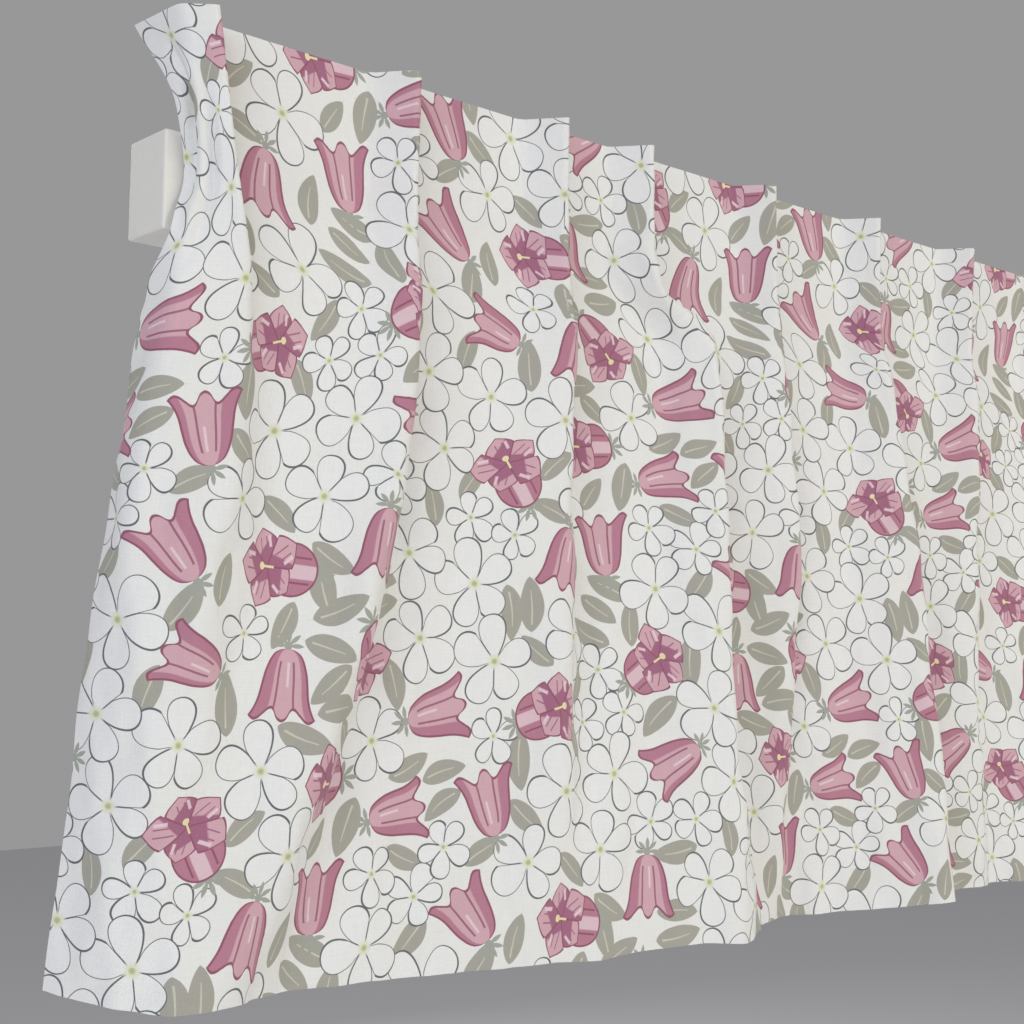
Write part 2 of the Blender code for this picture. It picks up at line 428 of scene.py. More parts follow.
def middle_surface(columns, rows):
    """The middle of the sheet in millimetres, in the scene's frame."""
    held = rounded_section(HELD, section_shares(columns, HELD))
    middle = RAIL_LENGTH / 2
    grid = []
    for down in rows:
        section = rounded_section(down, section_shares(columns, down))
        hung = max(down - HELD, 0.0)
        lean = (section[:, 1] - held[:, 1]) ** 2 / (2 * hung) if hung else 0.0 * section[:, 1]
        beyond = abs(section[:, 0] - middle) - (middle - CORNER_LIFT_FROM)
        share = np.clip(beyond, 0.0, None) / CORNER_LIFT_OVER
        lift = CORNER_LIFT * (hung / (DROP - HELD)) * np.minimum(share, 1.0) ** 1.5
        z = HEADING_RISE - down + lean + lift + RAIL_HEIGHT / 2
        grid.append(np.column_stack([section[:, 0] - middle, -RAIL_DEPTH - section[:, 1], z]))
    points = np.array(grid)
    across = columns[None, :]
    down = rows[:, None]
    lift = creased(across, down) + unevenness(across, down) + rolled(across, down)
    return points + lift[:, :, None] * grid_normals(points)


# --- The print's layout, on the flat cloth ---
Motif = namedtuple("Motif", "kind across down angle size")

# The room that a motif needs: half its width at places along it, all as shares of its size
ROOM = {
    "leaf": ((-1.0, 0.1), (-0.6, 0.44), (0.0, 0.58), (0.6, 0.4), (1.0, 0.1)),
    "flower": ((-1, 0.35), (-0.75, 0.72), (-0.35, 0.98), (0.35, 0.98), (0.75, 0.72), (1, 0.35)),
    "closed_bell": ((-1.3, 0.3), (-0.9, 0.42), (-0.4, 0.54), (0.3, 0.74), (0.57, 0.86), (0.83, 1.02)),
    "open_bell": ((-1.3, 0.3), (-0.9, 0.44), (-0.45, 0.72), (0.2, 1.02), (0.65, 0.92), (0.97, 0.4)),
}

# The kinds of motif that a face of the sheet may carry, the lowest first. A face takes the first
# row that holds all of its own motifs in this order, so the plainer rows come first.
STACKS = (
    (),
    ("leaf",),
    ("flower",),
    ("leaf", "flower"),
    ("leaf", "leaf"),
    ("closed_bell",),
    ("leaf", "leaf", "flower"),
    ("flower", "flower"),
    ("open_bell",),
    ("leaf", "closed_bell"),
    ("flower", "closed_bell"),
    ("leaf", "flower", "flower"),
    ("flower", "open_bell"),
    ("leaf", "leaf", "flower", "flower"),
    ("leaf", "flower", "closed_bell"),
    ("leaf", "flower", "open_bell"),
    ("leaf", "flower", "flower", "flower"),
    ("leaf", "leaf", "flower", "flower", "closed_bell"),
    ("leaf", "leaf", "flower", "flower", "open_bell"),
    ("leaf",) * 2 + ("flower",) * 4,
    ("leaf",) * 2 + ("flower",) * 2 + ("closed_bell",) * 2 + ("open_bell",),
    ("leaf",) * 3 + ("flower",) * 3 + ("closed_bell",) * 2 + ("open_bell",) * 2,
)
FAR = (1000.0, 0.0, 10.0)  # the place of a motif that isn't there
LARGEST_MOTIF = 40.0  # one whose middle lies further than this off the cloth doesn't show


def repeats(points):
    """Each point with its copies in the repeats round it, as an array (points, copies, 2)."""
    moves = [
        (REPEAT_WIDTH * i, REPEAT_HEIGHT * j + REPEAT_HEIGHT / 2 * i)
        for i in (-1, 0, 1)
        for j in (-1, 0, 1)
    ]
    return np.asarray(points)[:, None, :] + np.array(moves)[None, :, :]


def settle(random, radii, closeness):
    """Places for discs of these radii that push one another apart until they fill the repeat."""
    points = random.uniform(0, 1, (len(radii), 2)) * (REPEAT_WIDTH, REPEAT_HEIGHT)
    wanted = closeness * (radii[:, None] + radii[None, :])
    for _ in range(PUSHES):
        gaps = points[:, None, None, :] - repeats(points)[None, :, :, :]
        distance = np.linalg.norm(gaps, axis=3)
        distance[distance < 1e-9] = np.inf
        short = np.clip(wanted[:, :, None] - distance, 0, None)
        push = gaps / distance[..., None] * short[..., None]
        points = points + PUSH * push.sum(axis=(1, 2))
    return points


def clear_of(spots, points, radii):
    """How far each spot lies outside the nearest disc."""
    distance = np.linalg.norm(spots[..., None, None, :] - repeats(points), axis=-1)
    return (distance - np.reshape(radii, (-1, 1))).min(axis=(-2, -1))


def leaf_motifs(random, points, radii):
    """Leaves that look out from under the flowers and bells where there is most room."""
    columns = np.arange(0, REPEAT_WIDTH, SPOT_STEP)
    rows = np.arange(0, REPEAT_HEIGHT, SPOT_STEP)
    spots = np.stack(np.meshgrid(columns, rows), -1).reshape(-1, 2)
    taken, taken_radii = points, COVER * radii
    room = clear_of(spots, taken, taken_radii)
    leaves = []
    for _ in range(LEAVES):
        middle = spots[room.argmax()]
        size = random.uniform(*LEAF_SIZES)
        turns = random.uniform(0, math.pi) + np.arange(LEAF_TURNS) * math.pi / LEAF_TURNS
        reach = LEAF_REACH * size * np.stack([np.cos(turns), np.sin(turns)], axis=-1)
        tips = middle + np.stack([reach, -reach], axis=1)
        fit = clear_of(tips, taken, taken_radii).min(axis=1)
        angle = turns[fit.argmax()] + random.choice((0.0, math.pi))
        leaves.append(Motif("leaf", *middle, angle, size))
        leaf = np.vstack([middle, tips[fit.argmax()]])
        leaf_radii = np.full(3, LEAF_BREADTH / 2)
        room = np.minimum(room, clear_of(spots, leaf, leaf_radii))
        taken = np.vstack([taken, leaf])
        taken_radii = np.append(taken_radii, leaf_radii)
    return leaves


def own_layout():
    """The motifs of one repeat, the lowest first."""
    random = np.random.default_rng(SEED)
    upper = [(kind, sizes) for kind, count, sizes in FLOWERS_AND_BELLS for _ in range(count)]
    radii = np.array([random.uniform(*sizes) for _, sizes in upper])
    is_bell = np.array(["bell" in kind for kind, _ in upper])
    closeness = np.where(is_bell[:, None] | is_bell[None, :], MIXED_APART, FLOWERS_APART)
    closeness[is_bell[:, None] & is_bell[None, :]] = BELLS_APART
    points = settle(random, radii, closeness)
    motifs = [
        Motif(kind, *point, random.uniform(0, 2 * math.pi), radius)
        for (kind, _), point, radius in zip(upper, points, radii)
    ]
    return leaf_motifs(random, points, radii) + motifs


def all_copies(motif):
    """A motif in every repeat that the cloth shows."""
    for i in range(-1, int(FLAT_WIDTH / REPEAT_WIDTH) + 2):
        for j in range(-i // 2 - 2, 4 - i // 2):
            across = motif.across + REPEAT_WIDTH * i
            down = motif.down + REPEAT_HEIGHT * (j + i / 2)
            beyond = max(-across, across - FLAT_WIDTH, -down, down - DROP)
            if beyond < LARGEST_MOTIF:
                yield motif._replace(across=across, down=down)


def in_frame(motif, spots):
    """Places on the flat cloth in a motif's own frame, in which it points along the first axis."""
    c, s = math.cos(motif.angle), math.sin(motif.angle)
    return (spots - (motif.across, motif.down)) @ np.array([[c, -s], [s, c]])


def within_room(motif, spots, margin):
    """Whether each place on the flat cloth lies in a motif's room or within a margin of it."""
    x, y = in_frame(motif, spots).T
    places, half_widths = np.array(ROOM[motif.kind]).T * motif.size
    nearby = [np.interp(x + step, places, half_widths) for step in (-margin, 0.0, margin)]
    beside = abs(y) < np.max(nearby, axis=0) + margin
    return beside & (x > places[0] - margin) & (x < places[-1] + margin)


def motif_stacks(corners):
    """The motifs on each face: their kinds, and its corners in each one's frame, lowest first.

    corners is an array (faces, corners, 2) of places on the flat cloth.
    """
    centres = corners.mean(axis=1)
    half = np.linalg.norm(corners - centres[:, None], axis=2).max()
    kinds = [[] for _ in centres]
    places = [[] for _ in centres]
    for motif in own_layout():
        far = 1.4 * motif.size + half
        for copy in all_copies(motif):
            near = np.flatnonzero((abs(centres - (copy.across, copy.down)) < far).all(axis=1))
            mine = near[within_room(copy, centres[near], half)]
            placed = in_frame(copy, corners[mine])
            for face, place in zip(mine, placed):
                kinds[face].append(motif.kind)
                places[face].append((place, motif.size))
    return kinds, places


def fitted(kinds, stack):
    """Where each of a face's motifs goes in a stack, or None if the stack doesn't hold them."""
    slots = []
    start = 0
    for kind in kinds:
        if kind not in stack[start:]:
            return None
        slots.append(stack.index(kind, start))
        start = slots[-1] + 1
    return slots


def choose_stack(kinds):
    """The first row of STACKS that holds these motifs, or all but the lowest if none does."""
    for left_out in range(len(kinds) + 1):
        for number, stack in enumerate(STACKS):
            slots = fitted(kinds[left_out:], stack)
            if slots is not None:
                return number, slots, left_out


def stacked_print(corners):
    """Each face's row of STACKS, and its corners in the frame of each motif in that row."""
    kinds, places = motif_stacks(corners)
    depth = max(len(stack) for stack in STACKS)
    chosen = np.zeros(len(corners), np.int32)
    values = np.empty((depth, *corners.shape[:2], 3), np.float32)
    values[:] = FAR
    known = {}
    for face, key in enumerate(map(tuple, kinds)):
        if key not in known:
            known[key] = choose_stack(key)
        chosen[face], slots, left_out = known[key]
        for slot, (place, size) in zip(slots, places[face][left_out:]):
            values[slot, face, :, :2] = place
            values[slot, face, :, 2] = size
    return chosen, values


# --- The cloth's mesh ---
MAP_INSET = 0.002  # the empty border round each half of the map


def sheet_faces(rows, columns):
    """Quads of the front, of the back and of the four edges, by vertex."""
    to_back = rows * columns  # from a vertex of the front to the one behind it
    number = np.arange(to_back).reshape(rows, columns)
    upper_left, upper_right = number[:-1, :-1].ravel(), number[:-1, 1:].ravel()
    lower_left, lower_right = number[1:, :-1].ravel(), number[1:, 1:].ravel()
    front = np.stack([upper_left, lower_left, lower_right, upper_right], axis=1)
    back = front[:, ::-1] + to_back
    rim = np.concatenate([number[0, ::-1], number[1:, 0], number[-1, 1:], number[-2::-1, -1]])
    start, end = rim[:-1], rim[1:]
    edge = np.stack([start, start + to_back, end + to_back, end], axis=1)
    return front, back, edge


def tile_map(flat, is_back):
    """Where each face corner lies on the print's repeat: the front in the left half of the map."""
    centre = flat.mean(axis=1)
    column = np.floor(centre[:, 0] / REPEAT_WIDTH)
    hung = centre[:, 1] - column * REPEAT_HEIGHT / 2
    row = np.floor(hung / REPEAT_HEIGHT)
    u = flat[..., 0] / REPEAT_WIDTH - column[:, None]
    v = (flat[..., 1] - column[:, None] * REPEAT_HEIGHT / 2) / REPEAT_HEIGHT - row[:, None]
    u = MAP_INSET + u.clip(0, 1) * (0.5 - 2 * MAP_INSET) + 0.5 * is_back[:, None]
    v = 1 - (MAP_INSET + v.clip(0, 1) * (1 - 2 * MAP_INSET))
    return np.stack([u, v], axis=-1)


def make_cloth(materials):
    """The sheet: its front, its back and its cut edges, with the print on them."""
    columns, rows = column_places(), row_places()
    middle = middle_surface(columns, rows)
    offset = grid_normals(middle) * SHEET_THICKNESS / 2
    vertices = np.concatenate([(middle + offset).reshape(-1, 3), (middle - offset).reshape(-1, 3)])
    front, back, edge = sheet_faces(len(rows), len(columns))
    faces = np.concatenate([front, back, edge])
    mesh = bpy.data.meshes.new("cloth_sheet")
    mesh.from_pydata(vertices * MM, [], faces)
    mesh.shade_smooth()

    down, across = np.meshgrid(rows, columns, indexing="ij")
    flat_places = np.stack([across, down], axis=-1).reshape(-1, 2)
    flat = flat_places[faces % len(flat_places)]
    is_back = np.zeros(len(faces), bool)
    is_back[len(front) : len(front) + len(back)] = True
    mapped = mesh.uv_layers.new(name="OFBake")
    mapped.uv.foreach_set("vector", tile_map(flat, is_back).astype(np.float32).ravel())

    lay_print(mesh, materials, flat[: len(front)], len(edge))
    side = np.broadcast_to(is_back[:, None, None], flat.shape[:2] + (1,))
    put_corners(mesh, "flat_cloth", np.concatenate([flat, side], axis=-1))
    sharpen_rim(mesh, len(rows), len(columns))
    piece = bpy.data.objects.new("valance_sheet", mesh)
    bpy.context.scene.collection.objects.link(piece)
    return piece


def lay_print(mesh, materials, front_flat, edges):
    """Gives each face its row of STACKS as a material, and its corners' places in the motifs."""
    stacks, values = stacked_print(front_flat)
    for material in materials:
        mesh.materials.append(material)
    on_all = np.concatenate([stacks, stacks, np.zeros(edges, np.int32)])
    mesh.polygons.foreach_set("material_index", on_all)
    blank = np.full((edges, 4, 3), FAR, np.float32)
    for slot, on_front in enumerate(values):
        on_all = np.concatenate([on_front, on_front[:, ::-1], blank])
        put_corners(mesh, f"motif_{slot}", on_all)


def put_corners(mesh, name, values):
    layer = mesh.attributes.new(name, "FLOAT_VECTOR", "CORNER")
    layer.data.foreach_set("vector", values.astype(np.float32).ravel())


def sharpen_rim(mesh, rows, columns):
    """Marks the borders of the front and of the back as sharp."""
    number = np.arange(rows * columns)
    row, column = number // columns, number % columns
    border = (row == 0) | (row == rows - 1) | (column == 0) | (column == columns - 1)
    ends = np.empty(2 * len(mesh.edges), np.int32)
    mesh.edges.foreach_get("vertices", ends)
    ends = ends.reshape(-1, 2)
    side = ends >= rows * columns
    sharp = border[ends % (rows * columns)].all(axis=1) & (side[:, 0] == side[:, 1])
    layer = mesh.attributes.new("sharp_edge", "BOOLEAN", "EDGE")
    layer.data.foreach_set("value", sharp)


# --- Node arithmetic ---
class Term:
    """A number that a material's nodes work out. Each operator adds a Math node to the tree."""

    def __init__(self, tree, socket):
        self.tree = tree
        self.socket = socket

    def math(self, operation, *others, clamp=False):
        node = self.tree.nodes.new("ShaderNodeMath")
        node.operation = operation
        node.use_clamp = clamp
        for socket, value in zip(node.inputs, (self, *others)):
            plug(self.tree, value, socket)
        return Term(self.tree, node.outputs[0])

    def __add__(self, other):
        return self.math("ADD", other)

    def __sub__(self, other):
        return self.math("SUBTRACT", other)

    def __rsub__(self, other):
        return self.math("MULTIPLY_ADD", -1.0, other)

    def __mul__(self, other):
        return self.math("MULTIPLY", other)

    def __truediv__(self, other):
        return self.math("DIVIDE", other)

    def __abs__(self):
        return self.math("ABSOLUTE")

    def __pow__(self, power):
        return self.math("POWER", power)

    def above(self, other):
        return self.math("MAXIMUM", other)

    def below(self, other):
        return self.math("MINIMUM", other)

    def times_plus(self, factor, term):
        return self.math("MULTIPLY_ADD", factor, term)

    def sine(self):
        return self.math("SINE")

    def cosine(self):
        return self.math("COSINE")

    def filled(self, softness):
        """1 where the number is below zero, 0 above it, with a soft step between."""
        return self.math("MULTIPLY_ADD", -1.0 / softness, 0.5, clamp=True)


def plug(tree, value, socket):
    if isinstance(value, Term):
        tree.links.new(value.socket, socket)
    else:
        socket.default_value = value


def away(x, y):
    """How far a place is from the middle of its frame."""
    join = x.tree.nodes.new("ShaderNodeCombineXYZ")
    plug(x.tree, x, join.inputs["X"])
    plug(x.tree, y, join.inputs["Y"])
    measure = x.tree.nodes.new("ShaderNodeVectorMath")
    measure.operation = "LENGTH"
    x.tree.links.new(join.outputs[0], measure.inputs[0])
    return Term(x.tree, measure.outputs["Value"])


def linear(colour):
    """A colour given as 8-bit sRGB numbers, in Blender's linear RGBA."""
    parts = []
    for part in colour:
        share = part / 255
        parts.append(share / 12.92 if share <= 0.04045 else ((share + 0.055) / 1.055) ** 2.4)
    return (*parts, 1.0)


# A Mix node's sockets for the two colours that it mixes and for the mixed one
MIX_INPUTS = (6, 7)
MIX_OUTPUT = 2


def painted(tree, below, colour, amount):
    """A colour laid over the one below it, as far as the amount says."""
    node = tree.nodes.new("ShaderNodeMix")
    node.data_type = "RGBA"
    plug(tree, amount, node.inputs["Factor"])
    for value, number in zip((below, colour), MIX_INPUTS):
        if isinstance(value, tuple):
            node.inputs[number].default_value = linear(value)
        else:
            tree.links.new(value, node.inputs[number])
    return node.outputs[MIX_OUTPUT]


def curve(tree, value, points):
    """A number read off a smooth curve through the points, which all lie between 0 and 1."""
    node = tree.nodes.new("ShaderNodeFloatCurve")
    line = node.mapping.curves[0]
    line.points[0].location = points[0]
    line.points[1].location = points[-1]
    for x, y in points[1:-1]:
        line.points.new(x, y)
    node.mapping.update()
    plug(tree, value, node.inputs["Value"])
    return Term(tree, node.outputs[0])


# --- The motifs. Each is drawn in its own frame: x along it and y across it, in millimetres. ---
SOFT = 0.22  # how soft a printed edge is, in millimetres
INK = 0.34  # half the width of a printed outline, in millimetres
BELL_INK = 0.48
# Curves: half the bell's width from its foot to its mouth, the edge of its mouth from the middle
# out, and half the width of a lobe of the open mouth from the middle to its point
BELL_PROFILE = (
    (0, 0), (0.03, 0.2), (0.1, 0.34), (0.3, 0.49),
    (0.5, 0.56), (0.7, 0.62), (0.86, 0.72), (1, 0.86),
)
BELL_LIP = (
    (0, 1), (0.1, 0.97), (0.25, 0.83), (0.31, 0.83),
    (0.45, 0.9), (0.62, 0.985), (0.72, 0.99), (0.9, 0.87),
)
BELL_LOBE = ((0, 0.3), (0.25, 0.4), (0.48, 0.47), (0.65, 0.42), (0.8, 0.29), (0.92, 0.12), (1, 0))


def egg_distance(x, y, middle, half_length, half_width):
    """About how far a place is outside an egg-shaped outline."""
    along_it = (x - middle) / half_length
    aside = y / half_width
    size = away(along_it, aside).above(0.02)
    slope = away(along_it / half_length, aside / half_width).above(0.02)
    return (size - 1.0) * size / slope


def folded(angle, count):
    """An angle folded into one of count equal sectors: the sector's number and the rest."""
    turn = 2 * math.pi / count
    number = (angle * (1 / turn)).math("ROUND")
    return number, number.times_plus(-turn, angle)


def draw_flower(tree, place, below):
    """A white flower of five outlined petals with a yellow-green middle."""
    x, y, size = place
    distance = away(x, y)
    petal, aside = folded(y.math("ARCTAN2", x), 5)
    chance = petal.times_plus(2.4, size * 3.7).sine()
    other_chance = petal.times_plus(1.7, size * 5.1).sine()
    turned = chance.times_plus(-0.12, aside)
    length = size * other_chance.times_plus(0.07, 0.92)
    radius = distance / length
    petal_x = radius * turned.cosine()
    petal_y = radius * turned.sine()
    half_width = petal_x.times_plus(0.26, chance.times_plus(0.04, 0.175)).above(0.05)
    outside = egg_distance(petal_x, petal_y, 0.53, 0.47, half_width) * length
    inside = outside.filled(SOFT)
    line = (abs(outside) - petal_y.times_plus(0.4, INK)).filled(SOFT)
    seam = (distance * (math.pi / 5 - abs(aside)).sine() - INK).filled(SOFT) * inside
    near = distance / size
    clear_of_middle = (0.15 - near).filled(0.1)
    colour = painted(tree, below, PETAL, inside)
    colour = painted(tree, colour, OUTLINE, line.above(seam) * clear_of_middle)
    colour = painted(tree, colour, CENTRE_GLOW, (near - 0.12).filled(0.1) * 0.9)
    return painted(tree, colour, CENTRE_DOT, (near - 0.055).filled(0.05) * 0.85)


def draw_leaf(tree, place, below):
    """A grey-green leaf with a pale vein along part of it."""
    x, y, size = place
    u = x / size
    v = y / size - (1.0 - u * u) * (size * 9.0).sine() * 0.1
    taper = (1.0 - u * u).above(0.0) ** 0.72
    outside = (abs(v) - taper * (0.45 - u * 0.07)) * size * 0.9
    vein = (abs(v) - (0.026 - u * 0.018)) * size
    vein_end = (abs(u + 0.12) - 0.62) * size
    colour = painted(tree, below, LEAF, outside.filled(SOFT))
    return painted(tree, colour, VEIN, vein.above(vein_end).filled(SOFT) * 0.85)


def draw_sepals(tree, u, v, size, below):
    """The green foot of a bell: a knob in a fan of narrow spikes."""
    back = -0.93 - u
    distance = away(back, v)
    angle = v.math("ARCTAN2", back)
    _, aside = folded(angle, 8)
    breadth = (distance - 0.05) * (0.38 - distance) * 2.0
    spike = (distance * abs(aside) - breadth).above(abs(angle) * 0.1 - 0.2)
    knob = distance - 0.1
    return painted(tree, below, SEPAL, (spike.below(knob) * size).filled(SOFT))


def line_between(across, along_it, middle, half_length, half_width, size):
    """How far a place is outside a straight stroke."""
    return (abs(across) - half_width).above(abs(along_it - middle) - half_length) * size


def draw_closed_bell(tree, place, below):
    """A pink bell seen from the side, with a lobed mouth, ribs and a pale streak."""
    x, y, size = place
    u = x / size
    up = (u + 0.85) / 1.65  # 0 at the foot, 1 at the mouth
    v = y / size - up * up * (size * 13.0).sine() * 0.12
    colour = draw_sepals(tree, u, y / size, size, below)
    half_width = curve(tree, up, BELL_PROFILE)
    beyond_mouth = (up - curve(tree, abs(v), BELL_LIP)) * 1.15
    outside = ((abs(v) - half_width) * 0.85).above(beyond_mouth) * size
    inside = outside.filled(SOFT)
    share = v / half_width.above(0.05)
    colour = painted(tree, colour, BELL, inside)
    shade = (0.52 - share).filled(0.06).above((share + 0.74).filled(0.06))
    colour = painted(tree, colour, BELL_DARK, shade * inside)
    ribs = line_between((abs(share + 0.04) - 0.36) * half_width, up, 0.54, 0.36, 0.026, size)
    colour = painted(tree, colour, BELL_LINE, ribs.filled(SOFT) * inside * 0.85)
    streak = line_between((share + 0.13) * half_width, up, 0.36, 0.17, 0.03, size)
    colour = painted(tree, colour, BELL_LIGHT, streak.filled(0.5) * 0.9)
    return painted(tree, colour, BELL_LINE, (abs(outside) - BELL_INK).filled(SOFT))


def draw_bell_body(tree, u, v, size, below):
    """The ribbed body of an open bell."""
    outside = egg_distance(u, v, -0.33, 0.58, 0.56) * size
    inside = outside.filled(SOFT)
    colour = painted(tree, below, BELL_DARK, inside)
    colour = painted(tree, colour, BELL_LIGHT, (abs(v + 0.03) - 0.15).filled(0.03) * inside * 0.75)
    rib = line_between(abs(v) - 0.27, u, -0.45, 0.3, 0.022, size)
    colour = painted(tree, colour, BELL_LINE, rib.filled(SOFT) * inside)
    return painted(tree, colour, BELL_LINE, (abs(outside) - BELL_INK).filled(SOFT))


def draw_bell_mouth(tree, u, v, size, below):
    """The five-pointed mouth of an open bell, with its deep middle."""
    distance = away(u, v)
    petal, aside = folded(v.math("ARCTAN2", u), 5)
    length = petal.times_plus(2.2, size * 4.3).sine().times_plus(0.09, 0.91)
    along_it = distance / length * aside.cosine()
    across_it = distance / length * aside.sine()
    lobe = curve(tree, along_it, BELL_LOBE)
    outside = (abs(across_it) - lobe).above(along_it - 1.0) * size * 0.72
    inside = outside.filled(SOFT)
    colour = painted(tree, below, BELL, inside)
    # The deep middle runs out along one side of each lobe
    deep_end = petal.times_plus(2.6, size * 3.1).sine().times_plus(0.15, 0.5)
    deep = (along_it - deep_end - across_it * 0.8).filled(0.06)
    seam = (distance * (math.pi / 5 - abs(aside)).sine() * size - BELL_INK).filled(SOFT)
    streaks = line_between(abs(across_it) - 0.1, along_it, 0.55, 0.22, 0.018, size)
    deep = deep.above(streaks.filled(SOFT))
    colour = painted(tree, colour, BELL_DEEP, deep * inside)
    gleam = line_between(across_it - 0.21, along_it, 0.62, 0.15, 0.045, size)
    colour = painted(tree, colour, BELL_LIGHT, gleam.filled(0.5) * inside * 0.9)
    outline = (abs(outside) - BELL_INK).filled(SOFT).above(seam * inside)
    return painted(tree, colour, BELL_LINE, outline)


def draw_open_bell(tree, place, below):
    """A deep pink bell turned to the viewer: its mouth and pistil before its body."""
    x, y, size = place
    u = x / size
    v = y / size
    colour = draw_sepals(tree, u, v, size, below)
    colour = draw_bell_body(tree, u, v, size, colour)
    mouth_u = (u - 0.2) / 0.74  # the mouth is narrower along the bell than across it
    colour = draw_bell_mouth(tree, mouth_u, v, size, colour)
    stem = line_between(v, mouth_u, -0.03, 0.16, 0.026, size)
    tip = away(mouth_u - 0.16, v) - 0.085
    return painted(tree, colour, PISTIL, stem.below(tip * size).filled(SOFT))


DRAW = {
    "leaf": draw_leaf,
    "flower": draw_flower,
    "closed_bell": draw_closed_bell,
    "open_bell": draw_open_bell,
}


def motif_group(kind):
    """A node group that draws one kind of motif over the colour below it."""
    tree = bpy.data.node_groups.new(kind, "ShaderNodeTree")
    tree.interface.new_socket("Place", in_out="INPUT", socket_type="NodeSocketVector")
    tree.interface.new_socket("Below", in_out="INPUT", socket_type="NodeSocketColor")
    tree.interface.new_socket("Colour", in_out="OUTPUT", socket_type="NodeSocketColor")
    source = tree.nodes.new("NodeGroupInput")
    place = parts_of(tree, source.outputs["Place"])
    colour = DRAW[kind](tree, place, source.outputs["Below"])
    tree.links.new(colour, tree.nodes.new("NodeGroupOutput").inputs["Colour"])
    return tree


def parts_of(tree, vector):
    split = tree.nodes.new("ShaderNodeSeparateXYZ")
    tree.links.new(vector, split.inputs[0])
    return [Term(tree, socket) for socket in split.outputs]


def attribute(tree, name):
    source = tree.nodes.new("ShaderNodeAttribute")
    source.attribute_name = name
    return source.outputs["Vector"]


def print_colour(tree, stack, groups):
    """The print where a face carries this stack of motifs, from the ground up."""
    ground = tree.nodes.new("ShaderNodeRGB")
    ground.outputs[0].default_value = linear(GROUND)
    colour = ground.outputs[0]
    for slot, kind in enumerate(stack):
        node = tree.nodes.new("ShaderNodeGroup")
        node.node_tree = groups[kind]
        tree.links.new(attribute(tree, f"motif_{slot}"), node.inputs["Place"])
        tree.links.new(colour, node.inputs["Below"])
        colour = node.outputs["Colour"]
    return colour


def add_noise(tree, vector, scales, detail):
    """Noise stretched by its own scale along each axis."""
    mapping = tree.nodes.new("ShaderNodeMapping")
    mapping.inputs["Scale"].default_value = scales
    tree.links.new(vector, mapping.inputs["Vector"])
    node = tree.nodes.new("ShaderNodeTexNoise")
    node.inputs["Scale"].default_value = 1.0
    node.inputs["Detail"].default_value = detail
    tree.links.new(mapping.outputs[0], node.inputs["Vector"])
    return Term(tree, node.outputs[0])


THREAD = 0.55  # from one thread to the next, in millimetres
# How fine the threads' shades are across and down the cloth, and how deep
WARP_SHADES = (1.5, 0.10, 1.0)
WEFT_SHADES = (0.10, 1.5, 1.0)
SHADE_DEPTH = 0.09
BACK_FADE = 0.6  # how much of the print doesn't show through to the back


def cotton_group():
    """A node group for the cotton under the print: thread shades, weave bump and paler back."""
    tree = bpy.data.node_groups.new("cotton", "ShaderNodeTree")
    tree.interface.new_socket("Print", in_out="INPUT", socket_type="NodeSocketColor")
    tree.interface.new_socket("Colour", in_out="OUTPUT", socket_type="NodeSocketColor")
    tree.interface.new_socket("Normal", in_out="OUTPUT", socket_type="NodeSocketVector")
    source = tree.nodes.new("NodeGroupInput")
    target = tree.nodes.new("NodeGroupOutput")
    cloth = attribute(tree, "flat_cloth")
    across, down, side = parts_of(tree, cloth)
    colour = painted(tree, source.outputs["Print"], GROUND, side * BACK_FADE)
    warp_shade = add_noise(tree, cloth, WARP_SHADES, 1.0)
    weft_shade = add_noise(tree, cloth, WEFT_SHADES, 1.0)
    shade = tree.nodes.new("ShaderNodeHueSaturation")
    tree.links.new(colour, shade.inputs["Color"])
    value = (warp_shade + weft_shade) * SHADE_DEPTH + (1 - SHADE_DEPTH)
    plug(tree, value, shade.inputs["Value"])
    tree.links.new(shade.outputs[0], target.inputs["Colour"])
    turn = math.pi / THREAD
    weave = (across * turn).sine() * (down * turn).sine()
    bump = tree.nodes.new("ShaderNodeBump")
    bump.inputs["Strength"].default_value = 0.3
    bump.inputs["Distance"].default_value = 0.07 * MM
    plug(tree, weave, bump.inputs["Height"])
    tree.links.new(bump.outputs[0], target.inputs["Normal"])
    return tree


def cloth_material(number, stack, groups, cotton):
    material = bpy.data.materials.new(f"printed_cotton_{number}")
    material.use_nodes = True
    tree = material.node_tree
    shader = tree.nodes["Principled BSDF"]
    finish = tree.nodes.new("ShaderNodeGroup")
    finish.node_tree = cotton
    tree.links.new(print_colour(tree, stack, groups), finish.inputs["Print"])
    tree.links.new(finish.outputs["Colour"], shader.inputs["Base Color"])
    tree.links.new(finish.outputs["Normal"], shader.inputs["Normal"])
    shader.inputs["Roughness"].default_value = 0.88
    shader.inputs["Sheen Weight"].default_value = 0.15
    shader.inputs["Sheen Roughness"].default_value = 0.5
    shader.inputs["Specular IOR Level"].default_value = 0.25
    return material


def cloth_materials():
    groups = {kind: motif_group(kind) for kind in DRAW}
    cotton = cotton_group()
    return [cloth_material(number, stack, groups, cotton) for number, stack in enumerate(STACKS)]


# --- The rail, the stage and the light ---
RAIL_PAINT = (238, 236, 232)
RAIL_PAINT_DARK = (227, 223, 215)
# How fine the grain, the brush marks and the patches are along the rail, out and up
GRAIN = (6.0, 260.0, 260.0)
BRUSHING = (14.0, 900.0, 900.0)
PATCHES = (22.0, 22.0, 22.0)


